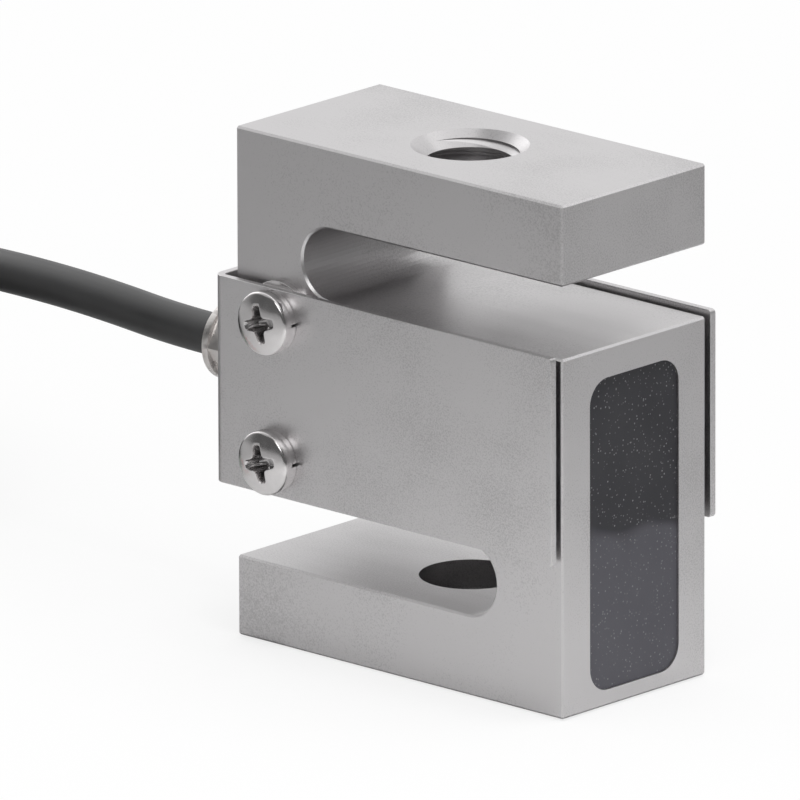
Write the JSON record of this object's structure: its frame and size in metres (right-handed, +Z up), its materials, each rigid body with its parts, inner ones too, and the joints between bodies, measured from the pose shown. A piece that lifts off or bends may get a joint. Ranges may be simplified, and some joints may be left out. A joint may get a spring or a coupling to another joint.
{
  "type": "s type load cell",
  "caption": "S-shaped steel load cell for tension and compression, with a threaded hole in each bar, a folded cover, a potted end pocket and a cable from a side gland.",
  "frame": {"origin": "where the load axis meets the underside of the lower bar", "axes": "+Z up along the load axis, +X to the potted end pocket, the cable leaves towards -X"},
  "size_m": [0.2426, 0.0569, 0.061],
  "materials": {
    "body_steel": "fine milled, satin",
    "cover_steel": "satin",
    "screw_steel": "bright",
    "gland_metal": "nickel plated",
    "seal_rubber": "matt",
    "cable_jacket": "satin",
    "tie_fabric": "woven hook and loop strap",
    "potting": "matt, cast",
    "red_insulation": "satin",
    "black_insulation": "satin",
    "green_insulation": "satin",
    "white_insulation": "satin",
    "tinned_copper": "tinned strands",
    "gauge_foil": "satin",
    "enamel_wire": "satin",
    "board_laminate": "satin",
    "pad_foam": "matt",
    "resistor_ceramic": "matt",
    "solder": "bright"
  },
  "bodies": {
    "root": {"sensing_body": "body_steel", "wrap_cover": "cover_steel", "cover_screws": "screw_steel", "lock_washers": "screw_steel", "spacer_washers": "screw_steel", "gland_body": "gland_metal", "gland_washer": "seal_rubber", "gland_seal": "seal_rubber", "gland_nut": "gland_metal", "cable_entry": "cable_jacket", "cable_run": "cable_jacket", "cable_hank": "cable_jacket", "hank_ties": "tie_fabric", "core_red": "red_insulation", "core_black": "black_insulation", "core_green": "green_insulation", "core_white": "white_insulation", "strain_gauge_roof_left": "gauge_foil", "strain_gauge_roof_right": "gauge_foil", "strain_gauge_floor_left": "gauge_foil", "strain_gauge_floor_right": "gauge_foil", "gauge_lead_roof_left": "enamel_wire", "gauge_lead_roof_right": "enamel_wire", "gauge_lead_floor_left": "enamel_wire", "gauge_lead_floor_right": "enamel_wire", "trim_board": "board_laminate", "board_pad": "pad_foam", "trim_resistor_1": "resistor_ceramic", "trim_resistor_2": "resistor_ceramic", "trim_resistor_3": "resistor_ceramic", "trim_resistor_4": "resistor_ceramic", "solder_joints": "solder", "cavity_potting": "potting", "end_potting": "potting", "lead_red": "red_insulation", "lead_black": "black_insulation", "lead_green": "green_insulation", "lead_white": "white_insulation", "shield_drain": "tinned_copper"}
  },
  "joints": []
}
